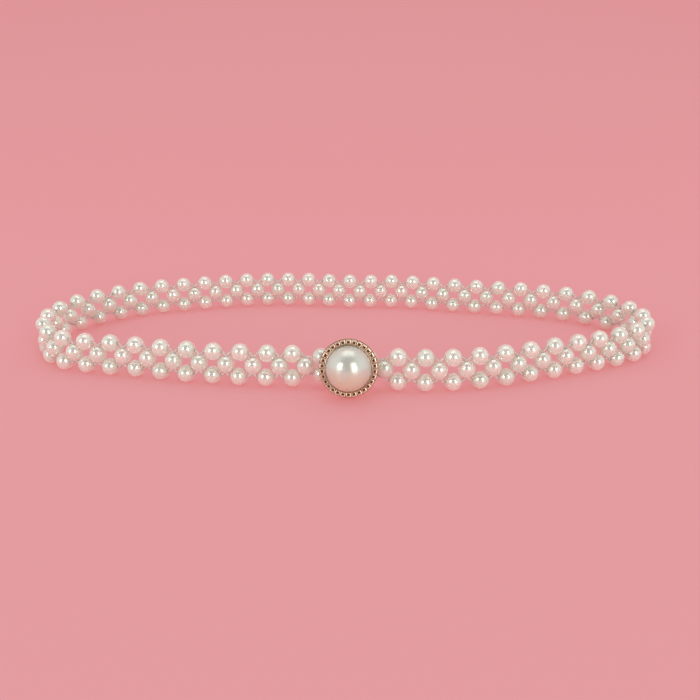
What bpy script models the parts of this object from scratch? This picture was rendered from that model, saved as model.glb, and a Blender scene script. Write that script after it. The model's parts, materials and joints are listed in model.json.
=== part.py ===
# Elastic stretch belt of white pearls with a large half pearl in a gold setting.
# It stands on its lower edge. +Z is up, the ornament faces -Y, and the origin is on the floor
# under the middle of the belt. All lengths are metres.

import math
import random

import bmesh
import bpy
from mathutils import Matrix, Vector

# Driving dimensions of the weave
PEARL_DIAMETER = 0.008
PEARL_GAP = 0.0006  # from a middle pearl to each of its four neighbours
WEAVE_ANGLE = math.radians(43.7)  # rise of a neighbour seen from the middle pearl
MIDDLE_PEARLS = 55
PINCH_GAP = 0.0003  # between the two pearls of the pair that is pinched at the ornament
ELASTIC_DIAMETER = 0.001
PORT_DIAMETER = 0.0012  # where the elastic fills a pearl's drilled hole

# Uneven hand stringing: how far a pearl strays inward, along the loop and upward
STRAY_ACROSS = 0.0002
STRAY_ALONG = 0.0001
STRAY_UP = 0.00008
STRAY_SEED = 7

# Shape of the loop from above, starting at the ornament and going left, back and right.
# Only the shape counts: the curve is scaled to the length that the pearls need.
ROUTE = [
    (0, -44), (-26, -43.5), (-52, -41), (-78, -37.5), (-102, -32), (-124, -28),
    (-141, -21.5), (-152, -6), (-154.5, 12), (-148.5, 29.5), (-135, 43.5), (-114, 56.5),
    (-86, 64.5), (-60, 71), (-32, 72.5), (-2, 68.5), (28, 68), (58, 61), (88, 55), (116, 47),
    (138, 33.5), (149, 14), (146, -6), (131, -18), (108, -28), (84, -37), (58, -45), (28, -48),
]
CURVE_STEPS = 24  # samples between two route points

# How the strung pearls have crept along the loop, and how far a pair's top pearl leads its
# bottom pearl, as shares of the pitch, from pair to pair
SETTLED = [
    (0, 0, 0), (2, -0.10, -0.09), (5, -0.06, -0.10), (8, 0.03, -0.10), (10, 0.05, -0.05),
    (13, 0.12, 0), (16, 0.05, 0.03), (22, 0, 0.03), (33, -0.04, 0.03), (40, 0.03, 0.02),
    (43, 0.06, -0.03), (47, -0.05, 0.02), (50, 0.02, 0.10), (53, 0.05, 0.02), (55, 0, 0),
]
RISE_SLOPE = 0.015  # how steeply the weave sinks from the lugs to the floor

# Driving dimensions of the ornament
SETTING_DIAMETER = 0.026
SETTING_DEPTH = 0.0038
PLATE_THICKNESS = 0.001
SETTING_CHAMFER = 0.0004
SETTING_LEAN = math.radians(16.5)
LARGE_PEARL_DIAMETER = 0.0202
LARGE_PEARL_RISE = 0.009  # above the face of the setting
CELLS = 30
CELL_WIDTH = 0.0011
CELL_DEPTH = 0.0015
RIM_WIDTH = 0.0009  # from the setting's edge to the cells
LUG_SPACING = 0.0066
LUG_REACH = 0.0069  # from the back of the plate to the middle of a lug's bar
LUG_WIRE = 0.0014
LUG_HEIGHT = 0.0084
ELASTIC_FREE_LEFT = 0.0044  # bare elastic between a lug and the pinched pair beside it
ELASTIC_FREE_RIGHT = 0.00095

# Clearances
SEAT_GAP = 0.0003
HALVES_GAP = 0.0003
WRAP_GAP = 0.0003

# Derived sizes
PEARL_RADIUS = PEARL_DIAMETER / 2
ELASTIC_RADIUS = ELASTIC_DIAMETER / 2
REACH = PEARL_DIAMETER + PEARL_GAP
PITCH = 2 * REACH * math.cos(WEAVE_ANGLE)
ROW_RISE = REACH * math.sin(WEAVE_ANGLE)
MIDDLE_HEIGHT = ROW_RISE + PEARL_RADIUS
PINCH_RISE = (PEARL_DIAMETER + PINCH_GAP) / 2
PINCH_RUN = math.sqrt(REACH ** 2 - PINCH_RISE ** 2)
LUG_RADIUS = LUG_WIRE / 2
START_LEFT = LUG_SPACING / 2 + LUG_RADIUS + ELASTIC_FREE_LEFT + PEARL_RADIUS
END_RIGHT = LUG_SPACING / 2 + LUG_RADIUS + ELASTIC_FREE_RIGHT + PEARL_RADIUS
LOOP_LENGTH = START_LEFT + 2 * PINCH_RUN + (MIDDLE_PEARLS - 1) * PITCH + END_RIGHT
SETTING_RADIUS = SETTING_DIAMETER / 2
LUG_DEPTH = SETTING_DEPTH / 2 + LUG_REACH
SETTING_HEIGHT = (SETTING_RADIUS * math.cos(SETTING_LEAN)
                  + SETTING_DEPTH / 2 * math.sin(SETTING_LEAN))
LUG_LEVEL = SETTING_HEIGHT - LUG_DEPTH * math.sin(SETTING_LEAN)
WEAVE_RISE = LUG_LEVEL - MIDDLE_HEIGHT
RISE_RUN = max(abs(WEAVE_RISE) / RISE_SLOPE, PITCH)
APEX_DEPTH = SETTING_DEPTH / 2 + LARGE_PEARL_RISE

MERGE = 0.00001
WRAP_TURN = math.radians(270)
WRAP_STEPS = 6
WRAP_DROP = 1.6 * ELASTIC_DIAMETER  # fall of the elastic while it turns round a lug's bar
PORT_SIDES = 5
MIDDLE_PORT_SIDES = 8
DOME_SIDES = 20
DOME_RINGS = 6
UP = Vector((0, 0, 1))


def clear_scene():
    for obj in list(bpy.data.objects):
        bpy.data.objects.remove(obj, do_unlink=True)


def make_material(name, colour, roughness, metallic):
    material = bpy.data.materials.new(name)
    material.use_nodes = True
    shader = material.node_tree.nodes["Principled BSDF"]
    shader.inputs["Base Color"].default_value = (*colour, 1)
    shader.inputs["Roughness"].default_value = roughness
    shader.inputs["Metallic"].default_value = metallic
    material.diffuse_color = (*colour, 1)
    return material


# The loop's curve


def spline_point(before, start, end, after, t):
    """A Catmull-Rom curve between start and end."""
    bend = 2 * before - 5 * start + 4 * end - after
    twist = 3 * start - before - 3 * end + after
    return 0.5 * (2 * start + (end - before) * t + bend * t * t + twist * t ** 3)


def sample_route():
    """The closed route as a fine polygon, scaled to the length of the loop."""
    chosen = [Vector((x, y, 0)) for x, y in ROUTE]
    count = len(chosen)
    points = []
    for i in range(count):
        four = [chosen[(i + k) % count] for k in (-1, 0, 1, 2)]
        points += [spline_point(*four, step / CURVE_STEPS) for step in range(CURVE_STEPS)]
    points.append(points[0])
    length = sum((b - a).length for a, b in zip(points, points[1:]))
    return [p * (LOOP_LENGTH / length) for p in points]


class Loop:
    """Places along the loop, by their distance from the ornament."""

    def __init__(self):
        self.points = sample_route()
        self.reached = [0.0]
        for a, b in zip(self.points, self.points[1:]):
            self.reached.append(self.reached[-1] + (b - a).length)

    def at(self, distance):
        """Point and direction on the floor plan."""
        distance %= self.reached[-1]
        i = next(k for k, far in enumerate(self.reached[1:]) if far >= distance)
        a, b = self.points[i], self.points[i + 1]
        share = (distance - self.reached[i]) / (self.reached[i + 1] - self.reached[i])
        return a.lerp(b, share), (b - a).normalized()

    def rise(self, distance):
        """How far the lugs lift the weave at this place."""
        from_lugs = min(distance - START_LEFT, LOOP_LENGTH - END_RIGHT - distance)
        share = min(max(from_lugs / RISE_RUN, 0), 1)
        return WEAVE_RISE * (1 - share * share * (3 - 2 * share))


# Where the pearls sit


def settled(pair):
    """How far the pearls there have crept, and how far the top row leads the bottom row."""
    for (first, creep, lead), (last, next_creep, next_lead) in zip(SETTLED, SETTLED[1:]):
        if pair <= last:
            share = (pair - first) / (last - first)
            creep += (next_creep - creep) * share
            lead += (next_lead - lead) * share
            return creep * PITCH, lead * PITCH
    return 0, 0


def pearl_centre(loop, distance, height, stray):
    """Centre of a pearl and the loop's direction there."""
    across, along, up = stray
    point, ahead = loop.at(distance + along)
    outward = ahead.cross(UP)
    return point + outward * across + UP * (height + loop.rise(distance) + up), ahead


def pearl_frame(centre, side, hole):
    """A pearl's frame, its local Z along the drilled hole and its local X to that side."""
    third = hole.cross(side).normalized()
    frame = Matrix((third.cross(hole), third, hole)).transposed().to_4x4()
    frame.translation = centre
    return frame


def place_weave(loop):
    """Frames of the pairs and of the middle pearls, in order round the loop."""
    dice = random.Random(STRAY_SEED)

    def stray(up_share):
        sizes = (STRAY_ACROSS, STRAY_ALONG, STRAY_UP * up_share)
        return [size * dice.uniform(-1, 1) for size in sizes]

    pairs = []
    middles = []
    for i in range(MIDDLE_PEARLS + 1):
        pinched = i in (0, MIDDLE_PEARLS)
        rise = PINCH_RISE if pinched else ROW_RISE
        creep, lead = settled(i)
        distance = START_LEFT + PINCH_RUN + (i - 0.5) * PITCH + creep
        if i == 0:
            distance = START_LEFT
        if i == MIDDLE_PEARLS:
            distance = LOOP_LENGTH - END_RIGHT
        pair = []
        for row in (1, -1):
            place = (distance + row * lead / 2, MIDDLE_HEIGHT + row * rise)
            centre, ahead = pearl_centre(loop, *place, stray(max(row, 0)))
            pair.append(pearl_frame(centre, UP, ahead))
        pairs.append(pair)
    for i in range(MIDDLE_PEARLS):
        creep, lead = settled(i + 0.5)
        distance = START_LEFT + PINCH_RUN + i * PITCH + creep
        centre, ahead = pearl_centre(loop, distance, MIDDLE_HEIGHT, stray(1))
        hole = (UP * 2 * ROW_RISE + ahead * lead).normalized()
        middles.append(pearl_frame(centre, ahead, hole))
    return pairs, middles


# The pearls and their elastic


def pearl_mesh(name, sides):
    """A faceted ball, open at both ends of its hole. The open rings come first."""
    ball = bmesh.new()
    bmesh.ops.create_icosphere(ball, subdivisions=1, radius=1)
    bmesh.ops.poke(ball, faces=ball.faces)
    round_points = [v.co.normalized() for v in ball.verts]
    ball.free()
    port = PORT_DIAMETER / PEARL_DIAMETER
    level = math.sqrt(1 - port * port)
    pearl = bmesh.new()
    for end in (-1, 1):
        for k in range(sides):
            angle = math.pi / 2 + 2 * math.pi * k / sides
            pearl.verts.new((port * math.cos(angle), port * math.sin(angle), end * level))
    for point in round_points:
        if abs(point.z) < level:
            pearl.verts.new(point)
    bmesh.ops.convex_hull(pearl, input=pearl.verts)
    caps = [f for f in pearl.faces if all(abs(v.co.z) > level - MERGE for v in f.verts)]
    bmesh.ops.delete(pearl, geom=caps, context="FACES")
    bmesh.ops.scale(pearl, vec=[PEARL_RADIUS] * 3, verts=pearl.verts)
    mesh = bpy.data.meshes.new(name)
    pearl.to_mesh(mesh)
    pearl.free()
    return mesh


def add_pearl(body, mesh, frame, sides):
    """Adds a pearl and returns the rings at its hole's two ends."""
    first = len(body.verts)
    body.from_mesh(mesh)
    body.verts.ensure_lookup_table()
    added = body.verts[first:]
    bmesh.ops.transform(body, matrix=frame, verts=added)
    return added[:sides], added[sides:2 * sides]


def half_ring(ring, ahead):
    """The half of a middle pearl's ring that faces one neighbour."""
    middle = MIDDLE_PORT_SIDES // 2
    return ring[middle:] + ring[:1] if ahead else ring[:middle + 1]


def join_rings(body, ring, other):
    """A tube of elastic from one ring to another with as many corners."""
    count = len(ring)
    turns = [other[k:] + other[:k] for k in range(count)]
    turns += [turn[::-1] for turn in turns]
    near = min(turns, key=lambda turn: sum((a.co - b.co).length for a, b in zip(ring, turn)))
    for k in range(count):
        after = (k + 1) % count
        body.faces.new((ring[k], ring[after], near[after], near[k]))


def add_ring(body, centre, facing):
    """A round ring of the elastic's size across the direction it faces."""
    turn = facing.to_track_quat("Z", "Y")
    ring = []
    for k in range(PORT_SIDES):
        angle = 2 * math.pi * k / PORT_SIDES
        corner = Vector((math.cos(angle), math.sin(angle), 0)) * ELASTIC_RADIUS
        ring.append(body.verts.new(centre + turn @ corner))
    return ring


def add_lug_wrap(body, top_ring, bottom_ring, side):
    """The elastic from a pinched pair's top pearl round the lug's bar to the bottom pearl."""
    turn = WRAP_TURN / WRAP_STEPS
    away = (LUG_RADIUS + ELASTIC_RADIUS + WRAP_GAP) / math.cos(turn / 2)
    bar = Vector((side * LUG_SPACING / 2, 0, -LUG_DEPTH))
    pose = ornament_pose()
    points = []
    for k in range(WRAP_STEPS + 1):
        angle = WRAP_TURN / 2 - k * turn
        up = WRAP_DROP * (0.5 - k / WRAP_STEPS)
        offset = Vector((-side * away * math.cos(angle), up, -away * math.sin(angle)))
        points.append(pose @ (bar + offset))
    starts = [sum((v.co for v in ring), Vector()) / len(ring) for ring in (top_ring, bottom_ring)]
    path = [starts[0]] + points + [starts[1]]
    last = top_ring
    for before, point, after in zip(path, path[1:], path[2:]):
        facing = (point - before).normalized() + (after - point).normalized()
        ring = add_ring(body, point, facing)
        join_rings(body, last, ring)
        last = ring
    join_rings(body, last, bottom_ring)


def close_ring(body, ring):
    body.faces.new(ring)


def short_ring(body, frame, end, side_mesh):
    """A half ring just clear of a middle pearl that belongs to the other half of the belt."""
    first = 0 if end < 0 else MIDDLE_PORT_SIDES
    corners = [side_mesh.vertices[first + k].co.copy() for k in range(MIDDLE_PORT_SIDES)]
    shift = Vector((HALVES_GAP, 0, end * HALVES_GAP))
    return [body.verts.new(frame @ (corner + shift)) for corner in half_ring(corners, True)]


def weave_half(name, pairs, middles, first_pair, last_pair, material, collection):
    """One fused half of the belt, from one pair to another, with the middle pearls between.

    The left half ends on a middle pearl. The right half starts with elastic that stops just
    clear of that pearl.
    """
    side_mesh = pearl_mesh("side_drilled_pearl", PORT_SIDES)
    upright_mesh = pearl_mesh("upright_drilled_pearl", MIDDLE_PORT_SIDES)
    body = bmesh.new()
    rings = {}
    for i in range(first_pair, last_pair + 1):
        for row, frame in enumerate(pairs[i]):
            rings[row, i] = add_pearl(body, side_mesh, frame, PORT_SIDES)
    last_middle = last_pair if last_pair < MIDDLE_PEARLS else last_pair - 1
    for i in range(first_pair, last_middle + 1):
        lower, upper = add_pearl(body, upright_mesh, middles[i], MIDDLE_PORT_SIDES)
        for row, port in enumerate((upper, lower)):
            join_rings(body, rings[row, i][1], half_ring(port, False))
            if i < last_pair:
                join_rings(body, rings[row, i + 1][0], half_ring(port, True))
            else:
                close_ring(body, half_ring(port, True))
    if first_pair == 0:
        add_lug_wrap(body, rings[0, 0][0], rings[1, 0][0], -1)
    else:
        for row, end in enumerate((1, -1)):
            stub = short_ring(body, middles[first_pair - 1], end, upright_mesh)
            join_rings(body, rings[row, first_pair][0], stub)
            close_ring(body, stub)
        add_lug_wrap(body, rings[0, last_pair][1], rings[1, last_pair][1], 1)
    bmesh.ops.triangulate(body, faces=body.faces)
    bmesh.ops.recalc_face_normals(body, faces=body.faces)
    mesh = bpy.data.meshes.new(name)
    body.to_mesh(mesh)
    body.free()
    for used in (side_mesh, upright_mesh):
        bpy.data.meshes.remove(used)
    obj = bpy.data.objects.new(name, mesh)
    mesh.materials.append(material)
    collection.objects.link(obj)
    return obj


# The ornament


def ornament_pose():
    """The setting's place: local Z is the way it faces, local Y runs up its plate."""
    centre = Vector((0, -LUG_DEPTH * math.cos(SETTING_LEAN), SETTING_HEIGHT))
    centre += Vector((0, sample_route()[0].y, 0))
    turn = Matrix.Rotation(math.pi / 2 - SETTING_LEAN, 4, "X")
    return Matrix.Translation(centre) @ turn


def turned_object(name, profile, steps, material, collection):
    """A closed solid turned about local Z from a profile of radius and height."""
    mesh = bpy.data.meshes.new(name)
    corners = [(radius, 0, height) for radius, height in profile]
    mesh.from_pydata(corners, [(k, k + 1) for k in range(len(corners) - 1)], [])
    mesh.materials.append(material)
    obj = bpy.data.objects.new(name, mesh)
    collection.objects.link(obj)
    screw = obj.modifiers.new("turn", "SCREW")
    screw.steps = steps
    screw.render_steps = steps
    screw.use_merge_vertices = True
    screw.merge_threshold = MERGE
    screw.use_smooth_shade = True
    return obj


def cell_cutter(collection):
    """The square cells of the setting's face, one block each."""
    cut = bmesh.new()
    radius = SETTING_RADIUS - RIM_WIDTH - CELL_WIDTH / 2
    face = SETTING_DEPTH / 2
    size = Matrix.Diagonal((CELL_WIDTH, CELL_WIDTH, 2 * CELL_DEPTH, 1))
    for k in range(CELLS):
        turn = Matrix.Rotation(2 * math.pi * (k + 0.5) / CELLS, 4, "Z")
        bmesh.ops.create_cube(cut, size=1, matrix=turn @ Matrix.Translation((radius, 0, face)) @ size)
    mesh = bpy.data.meshes.new("cell_cutter")
    cut.to_mesh(mesh)
    cut.free()
    obj = bpy.data.objects.new("cell_cutter", mesh)
    obj.hide_render = True
    obj.display_type = "WIRE"
    collection.objects.link(obj)
    return obj


def lug_wire(side, collection):
    """A staple of round wire whose feet sink into the plate."""
    x = side * LUG_SPACING / 2
    foot = PLATE_THICKNESS / 2 - SETTING_DEPTH / 2
    half = LUG_HEIGHT / 2
    corners = [(x, half, foot), (x, half, -LUG_DEPTH), (x, -half, -LUG_DEPTH), (x, -half, foot)]
    curve = bpy.data.curves.new("lug_wire", "CURVE")
    curve.dimensions = "3D"
    curve.bevel_depth = LUG_RADIUS
    curve.bevel_resolution = 1
    curve.use_fill_caps = True
    spline = curve.splines.new("POLY")
    spline.points.add(len(corners) - 1)
    for point, corner in zip(spline.points, corners):
        point.co = (*corner, 1)
    drawn = bpy.data.objects.new("lug_wire_curve", curve)
    collection.objects.link(drawn)
    bpy.context.view_layer.update()
    evaluated = drawn.evaluated_get(bpy.context.evaluated_depsgraph_get())
    mesh = bpy.data.meshes.new_from_object(evaluated)
    bpy.data.objects.remove(drawn)
    solid = bmesh.new()
    solid.from_mesh(mesh)
    bmesh.ops.remove_doubles(solid, verts=solid.verts, dist=MERGE)
    bmesh.ops.recalc_face_normals(solid, faces=solid.faces)
    solid.to_mesh(mesh)
    solid.free()
    name = "lug_left" if side < 0 else "lug_right"
    obj = bpy.data.objects.new(name, mesh)
    obj.hide_render = True
    obj.display_type = "WIRE"
    collection.objects.link(obj)
    return obj


def boolean(obj, other, operation):
    modifier = obj.modifiers.new(other.name, "BOOLEAN")
    modifier.object = other
    modifier.operation = operation
    modifier.solver = "EXACT"


def build_setting(material, collection, cutters):
    """Ring, plate and lugs of the setting, soldered into one solid."""
    front = SETTING_DEPTH / 2
    seat = PLATE_THICKNESS - front
    seat_radius = LARGE_PEARL_DIAMETER / 2 + SEAT_GAP
    inner = SETTING_RADIUS - SETTING_CHAMFER
    profile = [
        (0, seat),
        (seat_radius, seat),
        (seat_radius, front),
        (inner, front),
        (SETTING_RADIUS, front - SETTING_CHAMFER),
        (SETTING_RADIUS, SETTING_CHAMFER - front),
        (inner, -front),
        (0, -front),
    ]
    obj = turned_object("ornament_setting", profile, CELLS, material, collection)
    pieces = [(cell_cutter(cutters), "DIFFERENCE")]
    pieces += [(lug_wire(side, cutters), "UNION") for side in (-1, 1)]
    for piece, operation in pieces:
        piece.parent = obj
        boolean(obj, piece, operation)
    return obj


def build_large_pearl(material, collection):
    """The half pearl, a high dome on a short upright wall."""
    front = SETTING_DEPTH / 2
    foot = PLATE_THICKNESS - front + SEAT_GAP
    radius = LARGE_PEARL_DIAMETER / 2
    profile = []
    for k in range(DOME_RINGS + 1):
        angle = math.pi / 2 * k / DOME_RINGS
        profile.append((radius * math.sin(angle), front + LARGE_PEARL_RISE * math.cos(angle)))
    profile += [(radius, foot), (0, foot)]
    return turned_object("large_pearl", profile, DOME_SIDES, material, collection)


def plan_middle(pairs, middles):
    """The middle of the belt's box in the floor plan."""
    centres = [frame.translation for frame in middles]
    centres += [frame.translation for pair in pairs for frame in pair]
    apex = ornament_pose() @ Vector((0, 0, APEX_DEPTH))
    left = min(c.x for c in centres) - PEARL_RADIUS
    right = max(c.x for c in centres) + PEARL_RADIUS
    back = max(c.y for c in centres) + PEARL_RADIUS
    return Vector(((left + right) / 2, (apex.y + back) / 2, 0))


def main():
    clear_scene()
    scene = bpy.context.scene.collection
    parts = bpy.data.collections.new("stretch_belt")
    cutters = bpy.data.collections.new("cutters")
    scene.children.link(parts)
    scene.children.link(cutters)

    pearl = make_material("ivory_pearl", (0.83, 0.80, 0.75), 0.22, 0.0)
    big_pearl = make_material("large_ivory_pearl", (0.80, 0.78, 0.74), 0.18, 0.0)
    gold = make_material("pale_gold", (0.76, 0.60, 0.38), 0.3, 1.0)

    pairs, middles = place_weave(Loop())
    half = MIDDLE_PEARLS // 2
    root = bpy.data.objects.new("belt", None)
    parts.objects.link(root)
    left = weave_half("pearl_weave_left", pairs, middles, 0, half, pearl, parts)
    right = weave_half("pearl_weave_right", pairs, middles, half + 1, MIDDLE_PEARLS, pearl, parts)

    ornament = bpy.data.objects.new("ornament", None)
    ornament.matrix_local = ornament_pose()
    parts.objects.link(ornament)
    setting = build_setting(gold, parts, cutters)
    large = build_large_pearl(big_pearl, parts)
    for obj in (setting, large):
        obj.parent = ornament
    for obj in (left, right, ornament):
        obj.parent = root
    root.location = -plan_middle(pairs, middles)


main()
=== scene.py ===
"""Elastic stretch belt of white imitation pearls with a large half pearl in a pale gold setting.

All lengths are metres. +Z is up, and the ornament faces -Y.
"""

import json
import logging
import math
import random
from collections.abc import Callable, Iterable, Sequence
from dataclasses import dataclass, field
from enum import Enum

import bmesh
import bpy
from mathutils import Matrix, Vector

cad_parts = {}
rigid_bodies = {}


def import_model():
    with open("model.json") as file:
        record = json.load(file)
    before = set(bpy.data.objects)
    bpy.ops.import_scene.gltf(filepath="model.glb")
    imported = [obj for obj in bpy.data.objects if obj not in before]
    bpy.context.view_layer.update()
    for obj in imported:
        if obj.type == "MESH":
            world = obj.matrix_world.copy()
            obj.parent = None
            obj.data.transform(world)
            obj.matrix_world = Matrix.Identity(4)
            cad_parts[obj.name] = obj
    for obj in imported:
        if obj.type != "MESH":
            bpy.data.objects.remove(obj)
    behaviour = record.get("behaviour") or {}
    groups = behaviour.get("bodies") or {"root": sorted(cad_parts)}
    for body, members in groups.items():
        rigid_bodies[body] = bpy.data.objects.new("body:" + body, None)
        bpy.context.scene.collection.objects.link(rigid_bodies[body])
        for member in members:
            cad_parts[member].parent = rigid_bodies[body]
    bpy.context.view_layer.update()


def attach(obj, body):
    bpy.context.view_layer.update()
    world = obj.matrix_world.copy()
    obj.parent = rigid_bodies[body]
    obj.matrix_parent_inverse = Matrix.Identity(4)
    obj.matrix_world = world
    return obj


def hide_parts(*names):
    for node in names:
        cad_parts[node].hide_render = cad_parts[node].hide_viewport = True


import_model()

UP = Vector((0, 0, 1))
TOUCH = 1e-6  # points nearer to each other than this are one point
NEAR = 1e-5  # leeway when vertices are told apart by their place
log = logging.getLogger("stretch_belt")

# The loop from above, from the ornament going left, back and right. It is scaled to the pearls.
ROUTE = [
    (0, -44), (-26, -43.5), (-52, -41), (-78, -37.5), (-102, -32), (-124, -28),
    (-141, -21.5), (-152, -6), (-154.5, 12), (-148.5, 29.5), (-135, 43.5), (-114, 56.5),
    (-86, 64.5), (-60, 71), (-32, 72.5), (-2, 68.5), (28, 68), (58, 61), (88, 55), (116, 47),
    (138, 33.5), (149, 14), (146, -6), (131, -18), (108, -28), (84, -37), (58, -45), (28, -48),
]

# Pair, how far its pearls have crept, and how far its top pearl leads, as shares of the pitch
SETTLED = [
    (0, 0, 0), (2, -0.10, -0.09), (5, -0.06, -0.10), (8, 0.03, -0.10), (10, 0.05, -0.05),
    (13, 0.12, 0), (16, 0.05, 0.03), (22, 0, 0.03), (33, -0.04, 0.03), (40, 0.03, 0.02),
    (43, 0.06, -0.03), (47, -0.05, 0.02), (50, 0.02, 0.10), (53, 0.05, 0.02), (55, 0, 0),
]


class Half(Enum):
    """The two halves of the belt, which meet at the back."""

    LEFT = "left"
    RIGHT = "right"

    @property
    def node(self) -> str:
        """The CAD node of this half."""
        return f"pearl_weave_{self.value}"


class Pick(Enum):
    """What a selection in edit mode is made of."""

    VERTICES = "VERT"
    EDGES = "EDGE"
    FACES = "FACE"


# Small tools


def srgb(code: str) -> tuple[float, float, float, float]:
    """Turns an sRGB colour into a linear one.

    Args:
        code: Six hex digits.

    Returns:
        Red, green, blue and full alpha.
    """
    parts = [int(code[k:k + 2], 16) / 255 for k in (0, 2, 4)]
    linear = [p / 12.92 if p <= 0.04045 else ((p + 0.055) / 1.055) ** 2.4 for p in parts]
    return (*linear, 1.0)


def clamp(value: float) -> float:
    """Holds a number between 0 and 1."""
    return min(max(value, 0.0), 1.0)


def per_mm(period: float) -> float:
    """The scale of a pattern that repeats after this many millimetres."""
    return 1000 / period


def add_node(
    tree: bpy.types.NodeTree, kind: str, inputs: dict[str | int, object] | None = None,
    **settings: object,
) -> bpy.types.Node:
    """Adds a node with its settings, values and incoming links.

    Args:
        tree: The node tree.
        kind: The node's type.
        inputs: A value or another node's output for each input, by name or number.
        settings: The node's own properties.

    Returns:
        The new node.
    """
    node = tree.nodes.new(kind)
    for name, value in settings.items():
        setattr(node, name, value)
    for name, value in (inputs or {}).items():
        if isinstance(value, bpy.types.NodeSocket):
            tree.links.new(value, node.inputs[name])
        else:
            node.inputs[name].default_value = value
    return node


def new_material(name: str) -> tuple[bpy.types.Material, bpy.types.NodeTree, bpy.types.Node]:
    """A material with its tree and its surface shader."""
    material = bpy.data.materials.new(name)
    material.use_nodes = True
    tree = material.node_tree
    return material, tree, tree.nodes["Principled BSDF"]


def deselect_all() -> None:
    """Leaves no object selected or active."""
    for obj in bpy.context.view_layer.objects:
        obj.select_set(False)
    bpy.context.view_layer.objects.active = None


def edit(obj: bpy.types.Object) -> None:
    """Opens one object in edit mode."""
    deselect_all()
    obj.select_set(True)
    bpy.context.view_layer.objects.active = obj
    bpy.ops.object.mode_set(mode="EDIT")


def leave_edit() -> None:
    """Goes back to object mode."""
    bpy.ops.object.mode_set(mode="OBJECT")


def pick(obj: bpy.types.Object, kind: Pick, wanted: Callable[..., bool]) -> int:
    """Selects the vertices, edges or faces that a test wants, in edit mode.

    Args:
        obj: The object in edit mode.
        kind: What is selected.
        wanted: A test of one vertex, edge or face.

    Returns:
        How many are selected.
    """
    bpy.ops.mesh.select_mode(type=kind.value)
    bpy.ops.mesh.select_all(action="DESELECT")
    mesh = bmesh.from_edit_mesh(obj.data)
    groups = {Pick.VERTICES: mesh.verts, Pick.EDGES: mesh.edges, Pick.FACES: mesh.faces}
    chosen = [element for element in groups[kind] if wanted(element)]
    for element in chosen:
        element.select_set(True)
    mesh.select_flush_mode()
    bmesh.update_edit_mesh(obj.data)
    return len(chosen)


def extrude_by(step: Sequence[float]) -> None:
    """Extrudes what is selected and moves it."""
    bpy.ops.mesh.extrude_region_move(TRANSFORM_OT_translate={"value": tuple(step)})


def join(objects: Sequence[bpy.types.Object], name: str) -> bpy.types.Object:
    """Joins objects into one.

    Args:
        objects: The objects, the first of which stays.
        name: The name of the result.

    Returns:
        The joined object.
    """
    deselect_all()
    for obj in objects:
        obj.select_set(True)
    bpy.context.view_layer.objects.active = objects[0]
    bpy.ops.object.join()
    joined = bpy.context.view_layer.objects.active
    joined.name = joined.data.name = name
    return joined


def place_copy(model: bpy.types.Object, place: Matrix) -> bpy.types.Object:
    """A copy of a model with its own mesh, put in its place in that mesh."""
    copy = model.copy()
    copy.data = model.data.copy()
    copy.data.transform(place)
    bpy.context.scene.collection.objects.link(copy)
    return copy


def remove(obj: bpy.types.Object) -> None:
    """Deletes an object that is no longer needed."""
    bpy.data.objects.remove(obj, do_unlink=True)


def set_attribute(obj: bpy.types.Object, name: str, values: Iterable[float]) -> None:
    """Stores one number for each vertex of an object."""
    attribute = obj.data.attributes.new(name, "FLOAT", "POINT")
    attribute.data.foreach_set("value", list(values))


def smooth(obj: bpy.types.Object, degrees: float) -> None:
    """Shades an object smooth, apart from edges sharper than this angle."""
    deselect_all()
    obj.select_set(True)
    bpy.context.view_layer.objects.active = obj
    bpy.ops.object.shade_smooth_by_angle(angle=math.radians(degrees))


def draw_tubes(
    name: str, paths: Sequence[Sequence[Vector]], diameter: float, sides: int
) -> bpy.types.Object:
    """Round wires or cords along paths, as one mesh.

    Args:
        name: The name of the mesh.
        paths: The points that each tube follows.
        diameter: The tubes' thickness.
        sides: Sides of a tube, an even number from 4 up.

    Returns:
        The mesh object.
    """
    deselect_all()
    bpy.ops.curve.primitive_bezier_curve_add(location=(0, 0, 0))
    drawn = bpy.context.object
    curve = drawn.data
    curve.splines.clear()
    curve.bevel_depth = diameter / 2
    curve.bevel_resolution = sides // 2 - 2
    curve.use_fill_caps = True
    for path in paths:
        spline = curve.splines.new("POLY")
        spline.points.add(len(path) - 1)
        for point, place in zip(spline.points, path):
            point.co = (*place, 1)
    bpy.ops.object.convert(target="MESH")
    tubes = bpy.context.object
    tubes.name = tubes.data.name = name
    edit(tubes)
    bpy.ops.mesh.select_all(action="SELECT")
    bpy.ops.mesh.remove_doubles(threshold=TOUCH)
    bpy.ops.mesh.normals_make_consistent(inside=False)
    leave_edit()
    return tubes


def turned_shell(
    name: str, profile: Sequence[tuple[float, float]], steps: int
) -> bpy.types.Object:
    """A closed shell spun about Z.

    Args:
        name: The name of the mesh.
        profile: Radius and height of each corner of the section, in order.
        steps: Steps of the full turn.

    Returns:
        The mesh object.
    """
    deselect_all()
    bpy.ops.mesh.primitive_plane_add(size=0.001)
    shell = bpy.context.object
    shell.name = shell.data.name = name
    edit(shell)
    bpy.ops.mesh.select_mode(type="VERT")
    bpy.ops.mesh.select_all(action="SELECT")
    bpy.ops.mesh.merge(type="CENTER")
    bpy.ops.transform.translate(value=(profile[0][0], 0, profile[0][1]))
    for (r0, z0), (r1, z1) in zip(profile, profile[1:]):
        extrude_by((r1 - r0, 0, z1 - z0))
    bpy.ops.mesh.select_all(action="SELECT")
    bpy.ops.mesh.spin(steps=steps, angle=2 * math.pi, center=(0, 0, 0), axis=(0, 0, 1))
    bpy.ops.mesh.select_all(action="SELECT")
    bpy.ops.mesh.remove_doubles(threshold=TOUCH)
    bpy.ops.mesh.normals_make_consistent(inside=False)
    leave_edit()
    return shell


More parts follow.
